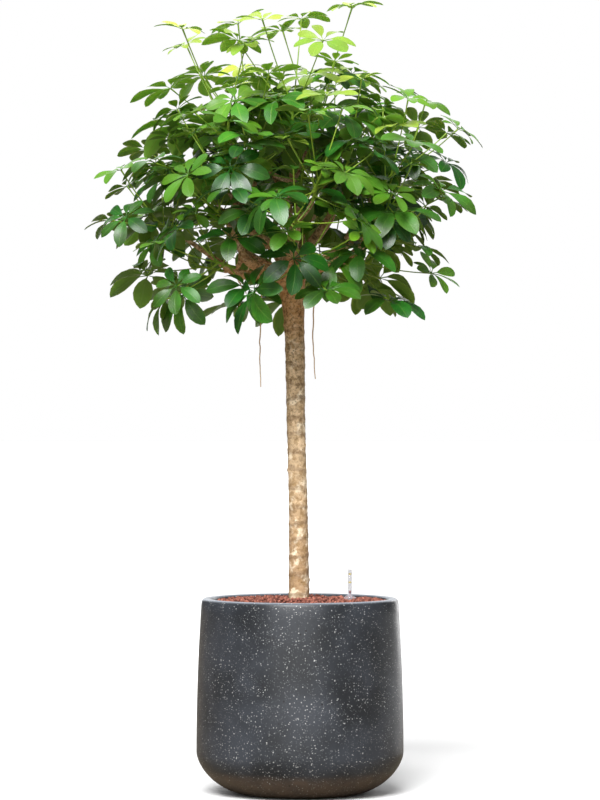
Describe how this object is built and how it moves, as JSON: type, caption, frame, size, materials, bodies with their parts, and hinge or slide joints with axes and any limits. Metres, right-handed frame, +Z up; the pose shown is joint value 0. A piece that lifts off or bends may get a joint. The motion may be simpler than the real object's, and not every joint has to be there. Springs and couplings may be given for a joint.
{
  "type": "potted umbrella plant",
  "caption": "Umbrella plant trained on a bare stem with a domed crown of leaf whorls, in a round dark composite planter filled with clay granules, with a water gauge.",
  "frame": {"origin": "centre of the planter's flat base, on the floor", "axes": "+Z up along the planter's axis, -Y towards the front of the picture, +X to its right"},
  "size_m": [0.8028, 0.8013, 1.5789],
  "materials": {
    "planter_composite": "satin, fine pale specks",
    "culture_pot_plastic": "matte",
    "clay_granules": "rough unglazed",
    "gauge_clear": "clear gloss",
    "gauge_grey": "satin",
    "gauge_red": "gloss",
    "bark": "rough bark",
    "leaf_mature": "waxy satin leaf",
    "leaf_young": "waxy satin young leaf"
  },
  "bodies": {
    "plant": {"clay_granules": "clay_granules", "culture_pot": "culture_pot_plastic", "gauge_housing": "gauge_grey", "gauge_sight_tube": "gauge_clear", "leafy_shoot_01": "leaf_young", "leafy_shoot_02": "leaf_young", "leafy_shoot_03": "leaf_young", "leafy_shoot_04": "leaf_young", "leafy_shoot_05": "leaf_young", "leafy_shoot_06": "leaf_young", "leafy_shoot_07": "leaf_young", "leafy_shoot_08": "leaf_young", "leafy_shoot_09": "leaf_young", "leafy_shoot_10": "leaf_young", "leafy_shoot_11": "leaf_mature", "leafy_shoot_12": "leaf_mature", "leafy_shoot_13": "leaf_mature", "leafy_shoot_14": "leaf_mature", "leafy_shoot_15": "leaf_mature", "leafy_shoot_16": "leaf_mature", "leafy_shoot_17": "leaf_mature", "leafy_shoot_18": "leaf_mature", "leafy_shoot_19": "leaf_mature", "leafy_shoot_20": "leaf_mature", "leafy_shoot_21": "leaf_mature", "leafy_shoot_22": "leaf_mature", "leafy_shoot_23": "leaf_mature", "leafy_shoot_24": "leaf_mature", "leafy_shoot_25": "leaf_mature", "leafy_shoot_26": "leaf_mature", "leafy_shoot_27": "leaf_mature", "leafy_shoot_28": "leaf_mature", "leafy_shoot_29": "leaf_mature", "leafy_shoot_30": "leaf_mature", "planter": "planter_composite", "stem_and_limbs": "bark"},
    "float": {"gauge_float": "gauge_red"}
  },
  "joints": [
    {"name": "float_rise", "type": "slide", "parent": "plant", "child": "float", "axis": [0, 0, 1], "range_m": [0, 0.036]}
  ]
}
